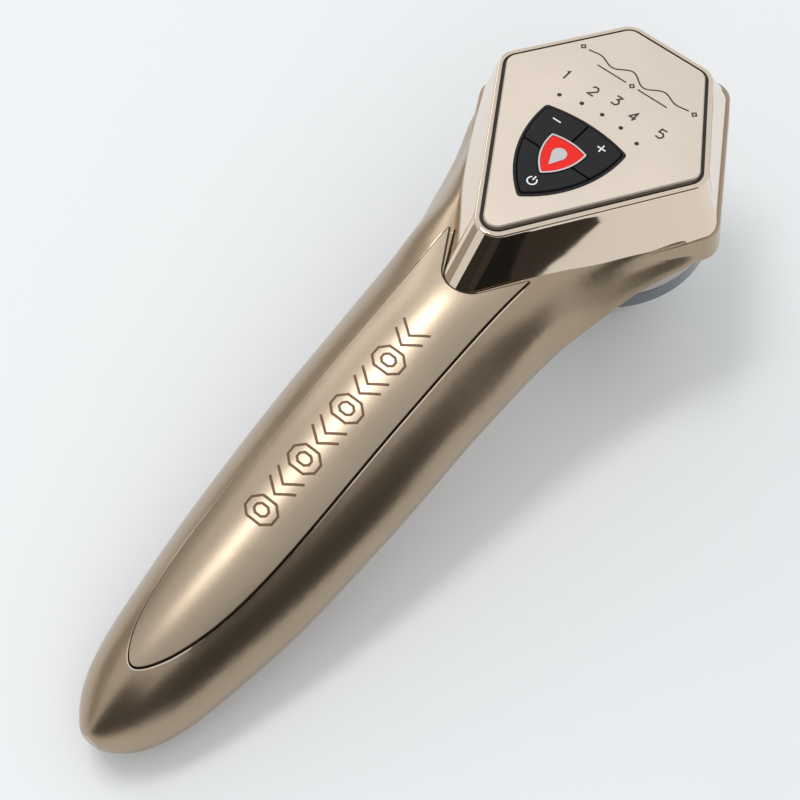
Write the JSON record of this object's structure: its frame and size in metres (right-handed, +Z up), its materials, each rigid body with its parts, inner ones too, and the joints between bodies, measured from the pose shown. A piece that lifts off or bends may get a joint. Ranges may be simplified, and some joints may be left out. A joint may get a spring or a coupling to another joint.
{
  "type": "facial skin-care device",
  "caption": "Hand-held facial skin-care device: slim tapered handle, pentagonal control head with keys and indicators, round treatment head beneath.",
  "frame": {"origin": "centre of the bounding box's footprint on the resting plane", "axes": "+X from the handle's tail to the head, +Y across the device, +Z up from the treatment face to the control panel"},
  "size_m": [0.191, 0.0634, 0.0562],
  "materials": {
    "champagne_satin": "ABS with satin metallic champagne-gold paint",
    "champagne_cover": "ABS with fine satin metallic champagne-gold paint",
    "champagne_mirror": "mirror-bright rose champagne plating",
    "sand_plate": "pale champagne, fine sand-blasted",
    "keypad_black": "black, semi-matte",
    "badge_silver": "polished",
    "badge_red": "gloss enamel red",
    "indicator_dark": "dark translucent",
    "collar_beige": "ABS with satin grey-beige paint",
    "band_slate": "gloss dark slate grey",
    "electrode_metal": "polished",
    "insulator_white": "matte white",
    "seal_rubber": "matte black",
    "board_green": "green solder mask",
    "component_black": "moulded black",
    "led_cream": "clear over phosphor",
    "screw_steel": "zinc plated",
    "cell_blue": "shrink wrap",
    "structure_grey": "moulded grey",
    "socket_white": "moulded white",
    "motor_steel": "drawn steel",
    "weight_tungsten": "sintered heavy metal",
    "contact_gold": "gold plated",
    "adhesive_clear": "clear film",
    "lead_sleeve": "insulated wire"
  },
  "bodies": {
    "casing": {"main_shell": "champagne_satin", "back_cover": "champagne_satin", "handle_cover": "champagne_cover", "head_bezel": "champagne_mirror", "face_plate": "sand_plate", "plate_adhesive": "adhesive_clear", "keypad_frame": "keypad_black", "badge_rim": "badge_silver", "badge_inlay": "badge_red", "badge_drop": "badge_silver", "switch_bodies": "component_black", "key_mat": "seal_rubber", "light_pipes": "indicator_dark", "indicator_leds": "led_cream", "key_board": "board_green", "board_screws": "screw_steel", "bezel_screws": "screw_steel", "case_screws": "screw_steel", "head_collar": "collar_beige", "head_seal": "seal_rubber", "diffuser_band": "band_slate", "electrode_ring": "electrode_metal", "insulator_ring": "insulator_white", "contact_plate": "electrode_metal", "contact_carrier": "structure_grey", "led_ring_board": "board_green", "treatment_leds": "led_cream", "contact_pins": "contact_gold", "temperature_sensor": "component_black", "head_screws": "screw_steel", "battery_cell": "cell_blue", "battery_tray": "structure_grey", "battery_pads": "seal_rubber", "main_board": "board_green", "main_chips": "component_black", "booster_coil": "component_black", "buzzer": "component_black", "battery_socket": "socket_white", "motor_can": "motor_steel", "motor_sleeve": "seal_rubber", "motor_bracket": "structure_grey", "contact_insert": "component_black", "charge_contacts": "contact_gold", "battery_lead": "lead_sleeve", "motor_lead": "lead_sleeve", "head_lead": "lead_sleeve"},
    "key_low_body": {"key_low": "keypad_black", "plunger_low": "component_black"},
    "key_high_body": {"key_high": "keypad_black", "plunger_high": "component_black"},
    "key_power_body": {"key_power": "keypad_black", "plunger_power": "component_black"},
    "rotor": {"motor_shaft": "motor_steel", "motor_weight": "weight_tungsten"}
  },
  "joints": [
    {"name": "key_low_press", "type": "slide", "parent": "casing", "child": "key_low_body", "axis": [0, 0, -1], "range_m": [0, 0.0004], "stiffness_N_per_m": 800, "springref_m": -0.001},
    {"name": "key_high_press", "type": "slide", "parent": "casing", "child": "key_high_body", "axis": [0, 0, -1], "range_m": [0, 0.0004], "stiffness_N_per_m": 800, "springref_m": -0.001},
    {"name": "key_power_press", "type": "slide", "parent": "casing", "child": "key_power_body", "axis": [0, 0, -1], "range_m": [0, 0.0004], "stiffness_N_per_m": 800, "springref_m": -0.001},
    {"name": "motor_spin", "type": "hinge", "parent": "casing", "child": "rotor", "pos_m": [0.033, 0, 0.033], "axis": [0, 1, 0], "continuous": true}
  ]
}
